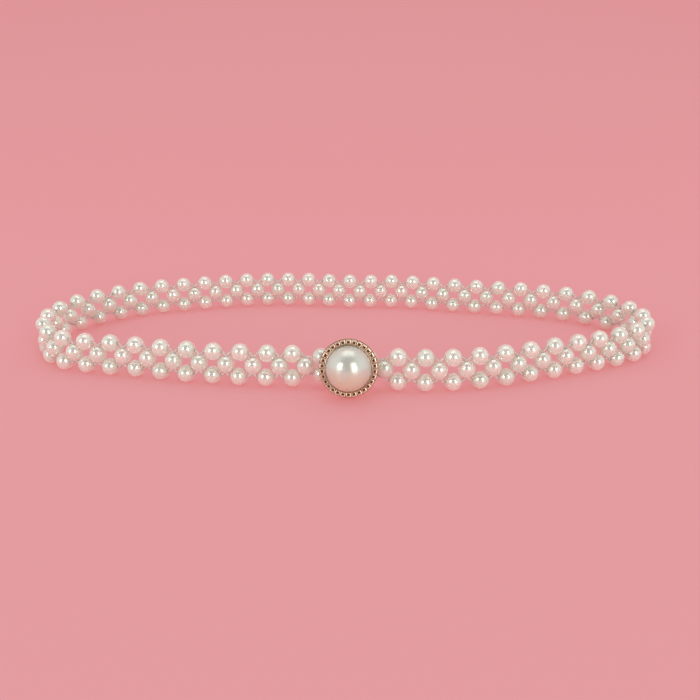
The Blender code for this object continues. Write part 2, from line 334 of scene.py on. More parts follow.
def finish_piece(
    obj: bpy.types.Object, nodes: Iterable[str],
    materials: Iterable[bpy.types.Material],
) -> bpy.types.Object:
    """Dresses a piece and ties it to the frame.

    Args:
        obj: The finished mesh object.
        nodes: The CAD nodes that it stands for.
        materials: Its materials.

    Returns:
        The same object.
    """
    obj.data.materials.clear()
    for material in materials:
        obj.data.materials.append(material)
    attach(obj, "root")
    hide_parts(*nodes)
    log.info("%s: %d faces", obj.name, len(obj.data.polygons))
    return obj


# Finishes


@dataclass(frozen=True)
class PearlLacquer:
    """Moulded ABS bead dipped in pearl lacquer: satin depth under a thin clear gloss."""

    name: str
    ivory: str = "E6E8DD"
    cool: str = "D9EAD7"
    warm: str = "F0E6DB"
    metallic: float = 0.38
    roughness: float = 0.19
    depth: tuple[float, float, float] = (0.01, 0.009, 0.0085)
    coat: float = 0.5
    coat_roughness: float = 0.06
    sheen: float = 1.0
    sheen_roughness: float = 0.45
    sheen_tint: str = "FFF0EC"
    swirl_mm: float = 2.2
    peel_mm: float = 0.9
    peel: float = 0.012
    peel_depth: float = 0.0002
    swirl_seen: tuple[float, float] = (0.35, 0.65)
    swirl_mix: tuple[float, float] = (0.25, 0.75)
    ior: float = 1.53

    def material(self) -> bpy.types.Material:
        """The lacquer's tone drifts from pearl to pearl and swirls faintly within each one; on
        the half pearl the same mix carries a painted floor reflection, warmer toward its lower
        edge.
        """
        material, tree, shader = new_material(self.name)
        place = add_node(tree, "ShaderNodeTexCoord")
        swirl = add_node(tree, "ShaderNodeTexNoise", {
            "Vector": place.outputs["Object"], "Scale": per_mm(self.swirl_mm), "Detail": 3.0,
            "Distortion": 0.8,
        })
        # on the small pearls this is each pearl's own tone; on the half pearl it carries a
        # painted floor reflection
        tone_and_painted_warmth = add_node(tree, "ShaderNodeAttribute", attribute_name="tone_and_painted_warmth")
        by_pearl = add_node(tree, "ShaderNodeMix", {
            0: tone_and_painted_warmth.outputs["Fac"], 6: srgb(self.cool), 7: srgb(self.warm),
        }, data_type="RGBA")
        low, high = self.swirl_seen
        least, most = self.swirl_mix
        blend = add_node(tree, "ShaderNodeMapRange", {
            "Value": swirl.outputs["Fac"], 1: low, 2: high, 3: least, 4: most,
        })
        colour = add_node(tree, "ShaderNodeMix", {
            0: blend.outputs["Result"], 6: srgb(self.ivory), 7: by_pearl.outputs[2],
        }, data_type="RGBA")
        peel = add_node(tree, "ShaderNodeTexNoise", {
            "Vector": place.outputs["Object"], "Scale": per_mm(self.peel_mm), "Detail": 1.0,
        })
        bump = add_node(tree, "ShaderNodeBump", {
            "Height": peel.outputs["Fac"], "Strength": self.peel,
            "Distance": self.peel_depth,
        })
        tree.links.new(colour.outputs[2], shader.inputs["Base Color"])
        tree.links.new(bump.outputs["Normal"], shader.inputs["Normal"])
        shader.inputs["Metallic"].default_value = self.metallic
        shader.inputs["Roughness"].default_value = self.roughness
        shader.inputs["IOR"].default_value = self.ior
        shader.inputs["Subsurface Weight"].default_value = 1.0
        shader.inputs["Subsurface Radius"].default_value = self.depth
        shader.inputs["Subsurface Scale"].default_value = 1.0
        shader.inputs["Sheen Weight"].default_value = self.sheen
        shader.inputs["Sheen Roughness"].default_value = self.sheen_roughness
        shader.inputs["Sheen Tint"].default_value = srgb(self.sheen_tint)
        shader.inputs["Coat Weight"].default_value = self.coat
        shader.inputs["Coat Roughness"].default_value = self.coat_roughness
        return material


@dataclass(frozen=True)
class ClearElastic:
    """Extruded polyurethane cord: milky clear, with a soft gloss and faint clouds."""

    name: str = "clear_polyurethane_elastic"
    milky: str = "F2E6E0"
    shade: str = "E6D6D0"
    roughness: float = 0.24
    transmission: float = 0.34
    cloud_mm: float = 1.6
    ior: float = 1.5

    def material(self) -> bpy.types.Material:
        """Faint clouds mottle the cord between its milky and its shaded tone."""
        material, tree, shader = new_material(self.name)
        place = add_node(tree, "ShaderNodeTexCoord")
        cloud = add_node(tree, "ShaderNodeTexNoise", {
            "Vector": place.outputs["Object"], "Scale": per_mm(self.cloud_mm), "Detail": 2.0,
        })
        colour = add_node(tree, "ShaderNodeMix", {
            0: cloud.outputs["Fac"], 6: srgb(self.shade), 7: srgb(self.milky),
        }, data_type="RGBA")
        tree.links.new(colour.outputs[2], shader.inputs["Base Color"])
        shader.inputs["Roughness"].default_value = self.roughness
        shader.inputs["IOR"].default_value = self.ior
        shader.inputs["Transmission Weight"].default_value = self.transmission
        return material


@dataclass(frozen=True)
class GoldWithPaintedShade:
    """Cast zinc with pale gold plating, polished on the high parts, with painted shade darkening
    the low parts.
    """

    name: str = "pale_gold_plated_zinc"
    gold: str = "FFF0DA"
    deep: str = "F6D8B8"
    # painted shade: the dark colour laid into the hollows in place of their shade
    painted_darkness: str = "865440"
    polished: float = 0.36
    dull: float = 0.55
    grain_mm: float = 0.5
    grain_bump: float = 0.12
    grain_depth: float = 0.0001

    def material(self) -> bpy.types.Material:
        """A dark colour painted into the hollows stands in for their shade, and the cast grain
        mottles the plating.
        """
        material, tree, shader = new_material(self.name)
        place = add_node(tree, "ShaderNodeTexCoord")
        grain = add_node(tree, "ShaderNodeTexNoise", {
            "Vector": place.outputs["Object"], "Scale": per_mm(self.grain_mm), "Detail": 4.0,
        })
        # painted shade: this attribute darkens the hollows as if they were shaded
        painted_shade = add_node(tree, "ShaderNodeAttribute", attribute_name="painted_shade")
        plate = add_node(tree, "ShaderNodeMix", {
            0: grain.outputs["Fac"], 6: srgb(self.gold), 7: srgb(self.deep),
        }, data_type="RGBA")
        colour = add_node(tree, "ShaderNodeMix", {
            0: painted_shade.outputs["Fac"], 6: plate.outputs[2], 7: srgb(self.painted_darkness),
        }, data_type="RGBA")
        gloss = add_node(tree, "ShaderNodeMapRange", {
            "Value": painted_shade.outputs["Fac"], 3: self.polished, 4: self.dull,
        })
        bump = add_node(tree, "ShaderNodeBump", {
            "Height": grain.outputs["Fac"], "Strength": self.grain_bump,
            "Distance": self.grain_depth,
        })
        tree.links.new(colour.outputs[2], shader.inputs["Base Color"])
        tree.links.new(gloss.outputs["Result"], shader.inputs["Roughness"])
        tree.links.new(bump.outputs["Normal"], shader.inputs["Normal"])
        shader.inputs["Metallic"].default_value = 1.0
        return material


@dataclass(frozen=True)
class SheetWithPaintedGlow:
    """Matt pink sheet with a painted glow: it emits light of its own, which keeps the shadows on
    it light.
    """

    name: str = "pink_sheet_with_painted_glow"
    pink: str = "928B95"
    fibre: str = "918A94"
    glow: str = "FF7C78"
    painted_glow_strength: float = 0.5
    roughness: float = 0.6
    grain_mm: float = 1.5
    specular: float = 0.3

    def material(self) -> bpy.types.Material:
        """The fibres mottle the tone by a hair."""
        material, tree, shader = new_material(self.name)
        place = add_node(tree, "ShaderNodeTexCoord")
        grain = add_node(tree, "ShaderNodeTexNoise", {
            "Vector": place.outputs["Object"], "Scale": per_mm(self.grain_mm), "Detail": 3.0,
        })
        colour = add_node(tree, "ShaderNodeMix", {
            0: grain.outputs["Fac"], 6: srgb(self.pink), 7: srgb(self.fibre),
        }, data_type="RGBA")
        tree.links.new(colour.outputs[2], shader.inputs["Base Color"])
        shader.inputs["Roughness"].default_value = self.roughness
        shader.inputs["Specular IOR Level"].default_value = self.specular
        # painted glow: the sheet emits light though it is no lamp, to lighten its shadows
        shader.inputs["Emission Color"].default_value = srgb(self.glow)
        shader.inputs["Emission Strength"].default_value = self.painted_glow_strength
        return material


# Where everything sits


def spline_point(before: Vector, start: Vector, end: Vector, after: Vector, t: float) -> Vector:
    """A Catmull-Rom curve.

    Args:
        before: The point before the stretch.
        start: Where the stretch starts.
        end: Where it ends.
        after: The point after the stretch.
        t: The share of the stretch passed.

    Returns:
        The point there.
    """
    bend = 2 * before - 5 * start + 4 * end - after
    twist = 3 * start - before - 3 * end + after
    return 0.5 * (2 * start + (end - before) * t + bend * t * t + twist * t ** 3)


def smooth_path(points: Sequence[Vector], steps: int) -> list[Vector]:
    """A smooth curve through points, its ends straight.

    Args:
        points: The points that it passes.
        steps: Samples between two of them.

    Returns:
        The samples.
    """
    led = [2 * points[0] - points[1], *points, 2 * points[-1] - points[-2]]
    path = []
    for four in zip(led, led[1:], led[2:], led[3:]):
        path += [spline_point(*four, k / steps) for k in range(steps)]
    return path + [points[-1]]


@dataclass(frozen=True)
class OrnamentSizes:
    """Sizes of the setting, its lugs and its half pearl."""

    diameter: float = 0.026
    depth: float = 0.0038
    plate: float = 0.001
    chamfer: float = 0.0004
    lean: float = math.radians(16.5)
    pearl_diameter: float = 0.0202
    pearl_rise: float = 0.009
    seat_gap: float = 0.0003
    cells: int = 30
    lug_spacing: float = 0.0066
    lug_reach: float = 0.0069
    lug_wire: float = 0.0014
    lug_height: float = 0.0084

    @property
    def height(self) -> float:
        """The height of the setting's middle, with its lower edge on the floor."""
        return self.diameter / 2 * math.cos(self.lean) + self.depth / 2 * math.sin(self.lean)

    @property
    def lug_depth(self) -> float:
        """How far the lugs' bars are behind the setting's middle."""
        return self.depth / 2 + self.lug_reach


@dataclass
class WeavePlan:
    """Places of the pearls and of the ornament, worked out as the part does it."""

    ornament: OrnamentSizes = field(default_factory=OrnamentSizes)
    pearl_diameter: float = 0.008
    pearl_gap: float = 0.0006
    angle: float = math.radians(43.7)
    count: int = 55
    pinch_gap: float = 0.0003
    elastic_diameter: float = 0.001
    stray: tuple[float, float, float] = (0.0002, 0.0001, 0.00008)
    seed: int = 7
    free_left: float = 0.0044
    free_right: float = 0.00095
    rise_slope: float = 0.015
    curve_steps: int = 24
    wrap_gap: float = 0.0003
    wrap_turn: float = math.radians(270)
    wrap_steps: int = 6
    wrap_drop: float = 1.6

    def __post_init__(self) -> None:
        """Works out the sizes that follow from the others, then every place."""
        reach = self.pearl_diameter + self.pearl_gap
        self.radius = self.pearl_diameter / 2
        self.pitch = 2 * reach * math.cos(self.angle)
        self.row_rise = reach * math.sin(self.angle)
        self.middle_height = self.row_rise + self.radius
        self.pinch_rise = (self.pearl_diameter + self.pinch_gap) / 2
        self.pinch_run = math.sqrt(reach ** 2 - self.pinch_rise ** 2)
        lug = self.ornament.lug_spacing / 2 + self.ornament.lug_wire / 2
        self.start = lug + self.free_left + self.radius
        self.end = lug + self.free_right + self.radius
        self.length = self.start + 2 * self.pinch_run + (self.count - 1) * self.pitch + self.end
        sink = self.ornament.lug_depth * math.sin(self.ornament.lean)
        self.weave_rise = self.ornament.height - sink - self.middle_height
        self.rise_run = max(abs(self.weave_rise) / self.rise_slope, self.pitch)
        self.route = self._sample_route()
        self.reached = [0.0]
        for a, b in zip(self.route, self.route[1:]):
            self.reached.append(self.reached[-1] + (b - a).length)
        self.pairs, self.middles = self._place_weave()
        self.pose = self._ornament_pose()
        self._centre()

    def _sample_route(self) -> list[Vector]:
        """The closed route as a fine polygon, scaled to the length of the loop."""
        chosen = [Vector((x, y, 0)) for x, y in ROUTE]
        count = len(chosen)
        points = []
        for i in range(count):
            four = [chosen[(i + k) % count] for k in (-1, 0, 1, 2)]
            steps = self.curve_steps
            points += [spline_point(*four, step / steps) for step in range(steps)]
        points.append(points[0])
        length = sum((b - a).length for a, b in zip(points, points[1:]))
        return [p * (self.length / length) for p in points]

    def _at(self, distance: float) -> tuple[Vector, Vector]:
        """Point and direction on the floor plan at a distance from the ornament."""
        distance %= self.reached[-1]
        i = next(k for k, far in enumerate(self.reached[1:]) if far >= distance)
        a, b = self.route[i], self.route[i + 1]
        share = (distance - self.reached[i]) / (self.reached[i + 1] - self.reached[i])
        return a.lerp(b, share), (b - a).normalized()

    def _rise(self, distance: float) -> float:
        """How far the lugs lift the weave there."""
        from_lugs = min(distance - self.start, self.length - self.end - distance)
        share = clamp(from_lugs / self.rise_run)
        return self.weave_rise * (1 - share * share * (3 - 2 * share))

    def _settled(self, pair: float) -> tuple[float, float]:
        """How far the pearls there have crept, and how far the top row leads."""
        for (first, creep, lead), (last, next_creep, next_lead) in zip(SETTLED, SETTLED[1:]):
            if pair <= last:
                share = (pair - first) / (last - first)
                creep += (next_creep - creep) * share
                lead += (next_lead - lead) * share
                return creep * self.pitch, lead * self.pitch
        return 0.0, 0.0

    def _pearl_centre(
        self, distance: float, height: float, stray: Sequence[float]
    ) -> tuple[Vector, Vector]:
        """Centre of a pearl and the loop's direction there."""
        across, along, up = stray
        point, ahead = self._at(distance + along)
        outward = ahead.cross(UP)
        lift = UP * (height + self._rise(distance) + up)
        return point + outward * across + lift, ahead

    @staticmethod
    def _pearl_frame(centre: Vector, side: Vector, hole: Vector) -> Matrix:
        """A pearl's frame, its local Z along the drilled hole and its local X to that side."""
        third = hole.cross(side).normalized()
        place = Matrix((third.cross(hole), third, hole)).transposed().to_4x4()
        place.translation = centre
        return place

    def _place_weave(self) -> tuple[list[list[Matrix]], list[Matrix]]:
        """Frames of the pairs and of the middle pearls, in order round the loop."""
        dice = random.Random(self.seed)

        def stray(up_share: float) -> list[float]:
            """How far one pearl strays inward, along the loop and upward."""
            across, along, up = self.stray
            return [size * dice.uniform(-1, 1) for size in (across, along, up * up_share)]

        pairs = []
        for i in range(self.count + 1):
            rise = self.pinch_rise if i in (0, self.count) else self.row_rise
            creep, lead = self._settled(i)
            distance = self.start + self.pinch_run + (i - 0.5) * self.pitch + creep
            if i == 0:
                distance = self.start
            if i == self.count:
                distance = self.length - self.end
            pair = []
            for row in (1, -1):
                place = (distance + row * lead / 2, self.middle_height + row * rise)
                centre, ahead = self._pearl_centre(*place, stray(max(row, 0)))
                pair.append(self._pearl_frame(centre, UP, ahead))
            pairs.append(pair)
        middles = []
        for i in range(self.count):
            creep, lead = self._settled(i + 0.5)
            distance = self.start + self.pinch_run + i * self.pitch + creep
            centre, ahead = self._pearl_centre(distance, self.middle_height, stray(1))
            hole = (UP * 2 * self.row_rise + ahead * lead).normalized()
            middles.append(self._pearl_frame(centre, ahead, hole))
        return pairs, middles

    def _ornament_pose(self) -> Matrix:
        """The setting's place: local Z is the way it faces, local Y runs up its plate."""
        sizes = self.ornament
        y = self.route[0].y - sizes.lug_depth * math.cos(sizes.lean)
        turn = Matrix.Rotation(math.pi / 2 - sizes.lean, 4, "X")
        return Matrix.Translation((0, y, sizes.height)) @ turn

    def _centre(self) -> None:
        """Moves every place so that the origin is under the middle of the belt."""
        centres = [place.translation for place in self.middles]
        centres += [place.translation for pair in self.pairs for place in pair]
        apex_depth = self.ornament.depth / 2 + self.ornament.pearl_rise
        apex = self.pose @ Vector((0, 0, apex_depth))
        left = min(c.x for c in centres) - self.radius
        right = max(c.x for c in centres) + self.radius
        back = max(c.y for c in centres) + self.radius
        shift = Matrix.Translation((-(left + right) / 2, -(apex.y + back) / 2, 0))
        self.pairs = [[shift @ place for place in pair] for pair in self.pairs]
        self.middles = [shift @ place for place in self.middles]
        self.pose = shift @ self.pose

    def half_frames(self, half: Half) -> tuple[range, range]:
        """Numbers of the pairs and of the middle pearls in one half."""
        middle = self.count // 2
        if half is Half.LEFT:
            return range(0, middle + 1), range(0, middle + 1)
        return range(middle + 1, self.count + 1), range(middle + 1, self.count)


# The pieces


@dataclass
class PearlStrings:
    """The small pearls. One drilled pearl is modelled, and every other is a copy."""

    plan: WeavePlan
    lacquer: PearlLacquer
    segments: int = 32
    rings: int = 18
    hole_diameter: float = 0.0013
    throat: float = 0.0006
    taper: float = 0.9
    seed: int = 21

    def model_pearl(self) -> bpy.types.Object:
        """A round pearl with a drilled hole along Z, whose ends are a little countersunk."""
        deselect_all()
        bpy.ops.mesh.primitive_uv_sphere_add(
            segments=self.segments, ring_count=self.rings, radius=self.plan.radius)
        pearl = bpy.context.object
        edit(pearl)
        for end in (-1, 1):
            self._drill(pearl, end)
        leave_edit()
        smooth(pearl, 50)
        return pearl

    def _drill(self, pearl: bpy.types.Object, end: int) -> None:
        """Opens one end of the hole and turns its edge inward."""
        radius = self.plan.radius
        turn = math.pi / self.rings
        hole = self.hole_diameter / 2
        level = math.sqrt(radius ** 2 - hole ** 2)
        pick(pearl, Pick.VERTICES, lambda v: v.co.z * end > radius * math.cos(turn / 2))
        bpy.ops.mesh.delete(type="VERT")
        pick(pearl, Pick.VERTICES, lambda v: v.co.z * end > radius * math.cos(turn * 1.5))
        extrude_by((0, 0, end * (level - radius * math.cos(turn))))
        self._narrow(hole / (radius * math.sin(turn)))
        extrude_by((0, 0, -end * self.throat))
        self._narrow(self.taper)

    @staticmethod
    def _narrow(share: float) -> None:
        """Draws the selected ring in towards the hole's axis."""
        bpy.ops.transform.resize(value=(share, share, 1), center_override=(0, 0, 0))

    def build(self) -> list[bpy.types.Object]:
        """The pearls of each half, joined."""
        pearl = self.model_pearl()
        dice = random.Random(self.seed)
        material = self.lacquer.material()
        made = []
        for half in Half:
            pairs, middles = self.plan.half_frames(half)
            frames = [place for i in pairs for place in self.plan.pairs[i]]
            frames += [self.plan.middles[i] for i in middles]
            copies = []
            for place in frames:
                copy = place_copy(pearl, place)
                set_attribute(copy, "tone_and_painted_warmth", [dice.random()] * len(copy.data.vertices))
                copies.append(copy)
            string = join(copies, f"pearls_{half.value}")
            made.append(finish_piece(string, [half.node], [material]))
        remove(pearl)
        return made


@dataclass
class ElasticCords:
    """The elastic between the pearls and round the lugs."""

    plan: WeavePlan
    finish: ClearElastic
    sides: int = 8
    thickness: float = 0.00118
    tucked: float = 0.0006
    side_by_side: float = 0.00022
    straight: float = 0.0001
    arm_steps: int = 3
    wrap_steps: int = 4

    def _arm(self, pearl: Matrix, toward: int, middle: Matrix, end: int) -> list[Vector]:
        """The cord from a side-drilled pearl's hole into an end of a middle pearl's hole.

        Args:
            pearl: The side-drilled pearl.
            toward: 1 where the cord leaves it ahead, -1 where it leaves it backward.
            middle: The middle pearl.
            end: 1 for its upper end, -1 for its lower end.

        Returns:
            The points that the cord follows.
        """
        radius = self.plan.radius
        lane = -toward * self.side_by_side
        return smooth_path([
            pearl @ Vector((0, 0, toward * (radius - self.tucked))),
            pearl @ Vector((0, 0, toward * (radius + self.straight))),
            middle @ Vector((lane, 0, end * (radius + self.straight))),
            middle @ Vector((lane, 0, end * (radius - self.tucked))),
        ], self.arm_steps)

    def _wrap(self, side: int) -> list[Vector]:
        """The cord from a pinched pair's top pearl round the lug's bar to the bottom pearl."""
        plan = self.plan
        sizes = plan.ornament
        turn = plan.wrap_turn / plan.wrap_steps
        clear = sizes.lug_wire / 2 + plan.elastic_diameter / 2 + plan.wrap_gap
        away = clear / math.cos(turn / 2)
        bar = Vector((side * sizes.lug_spacing / 2, 0, -sizes.lug_depth))
        around = []
        for k in range(plan.wrap_steps + 1):
            angle = plan.wrap_turn / 2 - k * turn
            up = plan.wrap_drop * plan.elastic_diameter * (0.5 - k / plan.wrap_steps)
            offset = Vector((-side * away * math.cos(angle), up, -away * math.sin(angle)))
            around.append(plan.pose @ (bar + offset))
        top, bottom = plan.pairs[0 if side < 0 else plan.count]
        hole = side * plan.radius
        inside = side * (plan.radius - self.tucked)
        starts = [top @ Vector((0, 0, depth)) for depth in (inside, hole)]
        ends = [bottom @ Vector((0, 0, depth)) for depth in (hole, inside)]
        return smooth_path([*starts, *around, *ends], self.wrap_steps)

    def build(self) -> list[bpy.types.Object]:
        """The elastic of each half."""
        material = self.finish.material()
        plan = self.plan
        made = []
        for half in Half:
            _, middles = plan.half_frames(half)
            paths = []
            for i in middles:
                for row, end in enumerate((1, -1)):
                    paths.append(self._arm(plan.pairs[i][row], 1, plan.middles[i], end))
                    paths.append(self._arm(plan.pairs[i + 1][row], -1, plan.middles[i], end))
            paths.append(self._wrap(-1 if half is Half.LEFT else 1))
            cords = draw_tubes(f"elastic_{half.value}", paths, self.thickness, self.sides)
            smooth(cords, 60)
            made.append(finish_piece(cords, [half.node], [material]))
        return made


@dataclass
class HalfPearl:
    """The large half pearl, a high dome on a short upright wall."""

    plan: WeavePlan
    lacquer: PearlLacquer
    segments: int = 72
    rings: int = 40
    # painted floor reflection: its warmth at the top, and where it starts to grow toward the
    # lower edge
    painted_warmth_above: float = 0.25
    painted_warmth_start: float = 0.1

    def build(self) -> bpy.types.Object:
        """Cuts a ball in two, flattens it a little and stands it on its wall."""
        sizes = self.plan.ornament
        radius = sizes.pearl_diameter / 2
        front = sizes.depth / 2
        foot = sizes.plate - front + sizes.seat_gap
        deselect_all()
        bpy.ops.mesh.primitive_uv_sphere_add(
            segments=self.segments, ring_count=self.rings, radius=radius)
        dome = bpy.context.object
        edit(dome)
        pick(dome, Pick.VERTICES, lambda v: v.co.z < -TOUCH)
        bpy.ops.mesh.delete(type="VERT")
        bpy.ops.mesh.select_all(action="SELECT")
        bpy.ops.transform.resize(
            value=(1, 1, sizes.pearl_rise / radius), center_override=(0, 0, 0))
        bpy.ops.transform.translate(value=(0, 0, front))
        pick(dome, Pick.VERTICES, lambda v: v.co.z < front + TOUCH)
        extrude_by((0, 0, foot - front))
        bpy.ops.mesh.edge_face_add()
        leave_edit()
        # painted floor reflection, warmer toward the lower edge
        set_attribute(dome, "tone_and_painted_warmth", self._painted_floor_warmth(dome))
        dome.data.transform(self.plan.pose)
        dome.name = dome.data.name = "half_pearl"
        smooth(dome, 40)
        return finish_piece(
            dome, ["large_pearl"], [self.lacquer.material()])

    def _painted_floor_warmth(self, dome: bpy.types.Object) -> list[float]:
        """A painted floor reflection: the lacquer's colour warms toward the lower edge."""
        radius = self.plan.ornament.pearl_diameter / 2
        toward_floor = [clamp(self.painted_warmth_start - v.co.y / radius) for v in dome.data.vertices]
        return [self.painted_warmth_above + (1 - self.painted_warmth_above) * share for share in toward_floor]


@dataclass
class Setting:
    """The cast ring with its row of square collets, its plate and its two lugs."""

    plan: WeavePlan
    finish: GoldWithPaintedShade
    steps: int = 120
    lip_inner: float = 0.0103
    lip_outer: float = 0.01054
    lip_top: float = 0.00212
    groove: float = 0.0011
    collet_inner: float = 0.0107
    collet_outer: float = 0.01272
    collet_top: float = 0.00195
    collet_share: float = 0.91
    collet_sunk: float = 0.0002
    corner_bevel: float = 0.0003
    top_bevel: float = 0.00026
    hole: float = 0.001
    hole_inward: float = 0.00015
    hole_edge: float = 0.00012
    hole_depth: float = 0.0006
    hole_margin: float = 0.0001
    rim_top: float = 0.001
    # how much painted shade lies beside the pearl, on the lip, at the collets' foot and in the
    # groove
    seat_painted_shade: float = 0.9
    lip_painted_shade: float = 0.1
    foot_painted_shade: float = 0.4
    groove_painted_shade: float = 0.75
    painted_shade_above: float = -0.0005
    shade_from: float = 0.00027
    shade_run: float = 0.0002
    lug_bend: float = 0.9
    bend_steps: int = 5
    lug_sides: int = 12

    def model_ring(self) -> bpy.types.Object:
        """The ring and its back plate, turned from one section."""
        sizes = self.plan.ornament
        edge = sizes.diameter / 2
        front = sizes.depth / 2
        seat = sizes.plate - front
        seat_radius = sizes.pearl_diameter / 2 + sizes.seat_gap
        profile = [
            (0, seat),
            (seat_radius, seat),
            (seat_radius, self.rim_top),
            (self.lip_inner, front),
            (self.lip_inner + 0.00002, self.lip_top - 0.00006),
            (self.lip_inner + 0.00008, self.lip_top),
            (self.lip_outer - 0.00006, self.lip_top - 0.00004),
            (self.lip_outer, self.lip_top - 0.00014),
            (self.lip_outer + 0.00003, self.groove),
            (self.collet_inner, self.groove),
            (edge - 0.00012, self.groove),
            (edge - 0.0001, self.rim_top - 0.00002),
            (edge - 0.00006, self.rim_top),
            (edge, self.rim_top - 0.00008),
            (edge, sizes.chamfer - front),
            (edge - sizes.chamfer, -front),
            (0, -front),
        ]
        return turned_shell("ring", profile, self.steps)

    def model_collet(self) -> bpy.types.Object:
        """One rounded square collet with a blind hole, at its place on local X."""
        inner, outer = self.collet_inner, self.collet_outer
        turn = math.pi / self.plan.ornament.cells
        wide = 2 * outer * math.tan(turn) * self.collet_share
        narrow = 2 * inner * math.tan(turn) * self.collet_share
        base = self.groove - self.collet_sunk
        tall = self.collet_top - base
        middle = (inner + outer) / 2
        deselect_all()
        bpy.ops.mesh.primitive_cube_add(
            size=1, location=(middle, 0, base + tall / 2), scale=(outer - inner, wide, tall))
        collet = bpy.context.object
        bpy.ops.object.transform_apply(location=True, rotation=True, scale=True)
        edit(collet)
        pick(collet, Pick.VERTICES, lambda v: v.co.x < middle)
        bpy.ops.transform.resize(value=(1, narrow / wide, 1), center_override=(inner, 0, 0))
        pick(collet, Pick.EDGES, lambda e: abs(e.verts[0].co.z - e.verts[1].co.z) > tall / 2)
        bpy.ops.mesh.bevel(
            offset=self.corner_bevel, offset_type="OFFSET", segments=2, affect="EDGES")
        top = self.collet_top - TOUCH
        pick(collet, Pick.EDGES, lambda e: all(v.co.z > top for v in e.verts))
        bpy.ops.mesh.bevel(
            offset=self.top_bevel, offset_type="OFFSET", segments=3, affect="EDGES")
        pick(collet, Pick.FACES, lambda f: f.normal.z > 0.99 and f.calc_center_median().z > top)
        bpy.ops.mesh.inset(thickness=(outer - inner - self.hole) / 2 - self.top_bevel)
        bpy.ops.transform.translate(value=(-self.hole_inward, 0, 0))
        extrude_by((0, 0, -self.hole_edge))
        extrude_by((0, 0, self.hole_edge - self.hole_depth))
        leave_edit()
        painted_shade = self._collet_painted_shade(collet, middle - self.hole_inward)
        set_attribute(collet, "painted_shade", painted_shade)
        return collet

    def _collet_painted_shade(self, collet: bpy.types.Object, centre: float) -> list[float]:
        """How much painted shade each vertex takes: the hole fully, the walls more toward their
        foot.
        """
        reach = self.hole / 2 + self.hole_margin
        depths = []
        for v in collet.data.vertices:
            down = self.collet_top - v.co.z
            beside = max(abs(v.co.x - centre), abs(v.co.y)) < reach
            in_hole = beside and down > self.hole_edge / 2
            depths.append(1.0 if in_hole else clamp((down - self.shade_from) / self.shade_run))
        return depths

    def model_lugs(self) -> bpy.types.Object:
        """Two staples of round wire whose feet sink into the plate."""
        sizes = self.plan.ornament
        foot = sizes.plate / 2 - sizes.depth / 2
        half = sizes.lug_height / 2
        bend = sizes.lug_wire * self.lug_bend
        paths = []
        for side in (-1, 1):
            x = side * sizes.lug_spacing / 2
            path = [Vector((x, half, foot))]
            for corner in (1, -1):
                for k in range(self.bend_steps + 1):
                    share = k / self.bend_steps
                    angle = math.pi / 2 * (share if corner > 0 else 1 - share)
                    y = corner * (half - bend + bend * math.cos(angle))
                    z = -sizes.lug_depth + bend - bend * math.sin(angle)
                    path.append(Vector((x, y, z)))
            path.append(Vector((x, -half, foot)))
            paths.append(path)
        return draw_tubes("lugs", paths, sizes.lug_wire, self.lug_sides)

    def _ring_painted_shade(self, ring: bpy.types.Object) -> list[float]:
        """How much painted shade each vertex takes: most beside the pearl, then the groove and
        the rim.
        """
        zones = (
            (self.lip_inner + NEAR, self.seat_painted_shade),
            (self.lip_outer - NEAR, 0.0),
            (self.lip_outer + NEAR, self.lip_painted_shade),
            (self.collet_inner - NEAR, self.foot_painted_shade),
            (math.inf, self.groove_painted_shade),
        )
        depths = []
        for v in ring.data.vertices:
            radius = math.hypot(v.co.x, v.co.y)
            painted_darkness = next(share for reach, share in zones if radius < reach)
            depths.append(painted_darkness if v.co.z > self.painted_shade_above else 0.0)
        return depths

    def build(self) -> bpy.types.Object:
        """Joins the ring, its collets and its lugs, and puts them in their place."""
        ring = self.model_ring()
        # painted shade on the ring's low zones
        set_attribute(ring, "painted_shade", self._ring_painted_shade(ring))
        collet = self.model_collet()
        cells = self.plan.ornament.cells
        pieces = [ring]
        for k in range(cells):
            turn = Matrix.Rotation(2 * math.pi * (k + 0.5) / cells, 4, "Z")
            pieces.append(place_copy(collet, turn))
        remove(collet)
        lugs = self.model_lugs()
        # the lugs take no painted shade
        set_attribute(lugs, "painted_shade", [0.0] * len(lugs.data.vertices))
        pieces.append(lugs)
        setting = join(pieces, "gold_setting")
        smooth(setting, 35)
        setting.data.transform(self.plan.pose)
        return finish_piece(
            setting, ["ornament_setting"], [self.finish.material()])


@dataclass(frozen=True)
class Softbox:
    """A flat soft light that faces the belt.

    Attributes:
        name: The light's name.
        azimuth: Degrees to the right of the side that the ornament faces.
        elevation: Degrees above the floor.
        size: Its width and height.
        radiance: Its brightness.
        colour: Its sRGB colour.
        mirrored: Whether glossy surfaces mirror it.
        distance: Metres from the belt's middle.
    """

    name: str
    azimuth: float
    elevation: float
    size: tuple[float, float]
    radiance: float
    colour: str
    mirrored: bool = True
    distance: float = 3.0

    def build(self) -> bpy.types.Object:
        """Hangs the light in its place."""
        data = bpy.data.lights.new(self.name, "AREA")
        data.shape = "RECTANGLE"
        data.size, data.size_y = self.size
        data.color = srgb(self.colour)[:3]
        data.energy = self.radiance * math.pi * self.size[0] * self.size[1]
        light = bpy.data.objects.new(self.name, data)
        az, el = math.radians(self.azimuth), math.radians(self.elevation)
        away = Vector((math.sin(az) * math.cos(el), -math.cos(az) * math.cos(el), math.sin(el)))
        light.location = away * self.distance
        light.rotation_euler = away.to_track_quat("Z", "Y").to_euler()
        light.visible_glossy = self.mirrored
        bpy.context.scene.collection.objects.link(light)
        return light


SOFTBOXES = (
    Softbox("softbox_left", -42, 24.5, (0.88, 1.35), 5.2, "FFFDF6"),
    Softbox("softbox_right", 29, 24, (0.92, 1.85), 5.6, "FFFDF6"),
    Softbox("softbox_above", 180, 80, (2.2, 2.0), 0.88, "F4FAF6"),
    Softbox("low_fill", -4, 12, (3.0, 1.0), 1.25, "FFFFFF", mirrored=False),
)


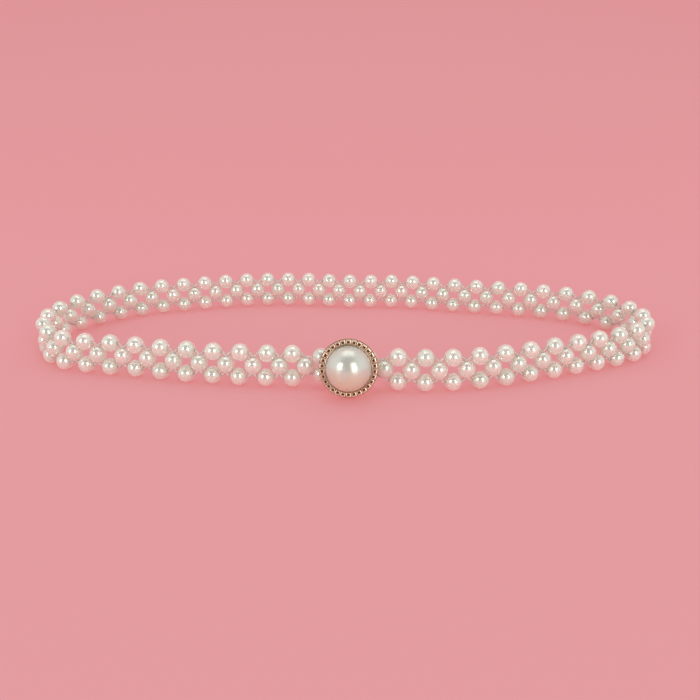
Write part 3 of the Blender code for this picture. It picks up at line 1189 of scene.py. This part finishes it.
@dataclass
class Studio:
    """Pink sheet, soft light and the camera."""

    sheet: SheetWithPaintedGlow
    softboxes: tuple[Softbox, ...] = SOFTBOXES
    tent: str = "F4F8F8"
    tent_glow: float = 0.81
    dim: str = "3C4244"
    dim_elevation: float = math.radians(42)
    dim_reach: tuple[float, float] = (math.radians(55), math.radians(14))
    blush: str = "F2CFCA"
    blush_elevation: float = math.radians(20)
    blush_reach: tuple[float, float] = (math.radians(80), math.radians(30))
    focal_px: float = 720.0
    frame_px: float = 700.0
    pitch: float = math.radians(22.32)
    yaw: float = math.radians(0.63)
    roll: float = math.radians(-0.14)
    camera_at: tuple[float, float, float] = (0.0065, -0.3491, 0.1405)
    floor_back: float = 0.5
    ramp_turn: float = math.radians(20)
    ramp_radius: float = 2.5
    ramp_length: float = 3.5
    ramp_steps: int = 16
    half_width: float = 4.0

    def build_sweep(self) -> bpy.types.Object:
        """A floor that rises gently behind the belt until it fills the view."""
        deselect_all()
        bpy.ops.mesh.primitive_plane_add(size=1)
        sweep = bpy.context.object
        sweep.name = sweep.data.name = "paper_sweep"
        sweep.data.transform(Matrix.Diagonal((2 * self.half_width, 2 * self.half_width, 1, 1)))
        sweep.data.transform(Matrix.Translation((0, self.floor_back - self.half_width, 0)))
        edit(sweep)
        pick(sweep, Pick.VERTICES, lambda v: v.co.y > self.floor_back - NEAR)
        for k in range(self.ramp_steps):
            a0, a1 = (self.ramp_turn * (k + s) / self.ramp_steps for s in (0, 1))
            run = self.ramp_radius * (math.sin(a1) - math.sin(a0))
            rise = self.ramp_radius * (math.cos(a0) - math.cos(a1))
            extrude_by((0, run, rise))
        run, rise = (self.ramp_length * f(self.ramp_turn) for f in (math.cos, math.sin))
        extrude_by((0, run, rise))
        leave_edit()
        smooth(sweep, 60)
        sweep.data.materials.append(self.sheet.material())
        return sweep

    def build_camera(self) -> bpy.types.Object:
        """The camera at the photograph's place and angle."""
        data = bpy.data.cameras.new("camera")
        data.sensor_width = 36
        data.lens = self.focal_px * data.sensor_width / self.frame_px
        data.clip_start = 0.01
        camera = bpy.data.objects.new("camera", data)
        turn = Matrix.Rotation(self.yaw, 4, "Z")
        turn = turn @ Matrix.Rotation(math.pi / 2 - self.pitch, 4, "X")
        turn = turn @ Matrix.Rotation(self.roll, 4, "Z")
        camera.matrix_world = Matrix.Translation(self.camera_at) @ turn
        bpy.context.scene.collection.objects.link(camera)
        bpy.context.scene.camera = camera
        return camera

    def build_light(self) -> None:
        """The softboxes, one of them a low fill that the pearls don't mirror, and the tent."""
        for softbox in self.softboxes:
            softbox.build()
        self.build_tent()
        bpy.context.scene.view_settings.view_transform = "Standard"

    def build_tent(self) -> None:
        """White cloth all round, pinker behind, with a dim opening in front above the camera."""
        world = bpy.data.worlds.new("light_tent")
        world.use_nodes = True
        tree = world.node_tree
        glow = tree.nodes["Background"]
        colour = srgb(self.tent)
        for patch, side, elevation, reach in (
            (self.blush, 1, self.blush_elevation, self.blush_reach),
            (self.dim, -1, self.dim_elevation, self.dim_reach),
        ):
            colour = self._add_patch(tree, colour, srgb(patch), side, elevation, reach)
        tree.links.new(colour, glow.inputs["Color"])
        glow.inputs["Strength"].default_value = self.tent_glow
        bpy.context.scene.world = world

    @staticmethod
    def _add_patch(
        tree: bpy.types.NodeTree, around: Sequence[float] | bpy.types.NodeSocket,
        patch: Sequence[float], side: int, elevation: float, reach: tuple[float, float],
    ) -> bpy.types.NodeSocket:
        """A soft round patch on the tent.

        Args:
            tree: The world's nodes.
            around: The colour round the patch, or a socket that gives it.
            patch: The patch's colour.
            side: 1 for behind the belt, -1 for in front of it.
            elevation: The angle of the patch's middle above the floor.
            reach: The angles from its middle where it fades out and where it is full.

        Returns:
            The socket with both.
        """
        place = add_node(tree, "ShaderNodeTexCoord")
        toward = add_node(tree, "ShaderNodeVectorMath", {
            0: place.outputs["Generated"],
            1: (0, side * math.cos(elevation), math.sin(elevation)),
        }, operation="DOT_PRODUCT")
        outer, inner = (math.cos(angle) for angle in reach)
        share = add_node(tree, "ShaderNodeMapRange", {
            "Value": toward.outputs["Value"], 1: outer, 2: inner,
        }, interpolation_type="SMOOTHSTEP")
        cloth = add_node(tree, "ShaderNodeMix", {
            0: share.outputs["Result"], 6: around, 7: patch,
        }, data_type="RGBA")
        return cloth.outputs[2]


def main() -> None:
    """Builds and dresses the belt, then the studio."""
    logging.basicConfig(level=logging.INFO, format="%(message)s")
    plan = WeavePlan()
    PearlStrings(plan, PearlLacquer("pearl_lacquer_on_abs")).build()
    ElasticCords(plan, ClearElastic()).build()
    # the half pearl's warm colour is its painted floor reflection at the lower edge
    HalfPearl(plan, PearlLacquer(
        "large_pearl_lacquer_on_abs", ivory="D6DCD8", cool="D6DEDA", warm="EAD8A4",
        metallic=0.44, roughness=0.26, coat_roughness=0.14, sheen=0.3, swirl_mm=6.0,
        peel_mm=3.0)).build()
    Setting(plan, GoldWithPaintedShade()).build()
    studio = Studio(SheetWithPaintedGlow())
    studio.build_sweep()
    studio.build_camera()
    studio.build_light()


if __name__ == "__main__":
    main()
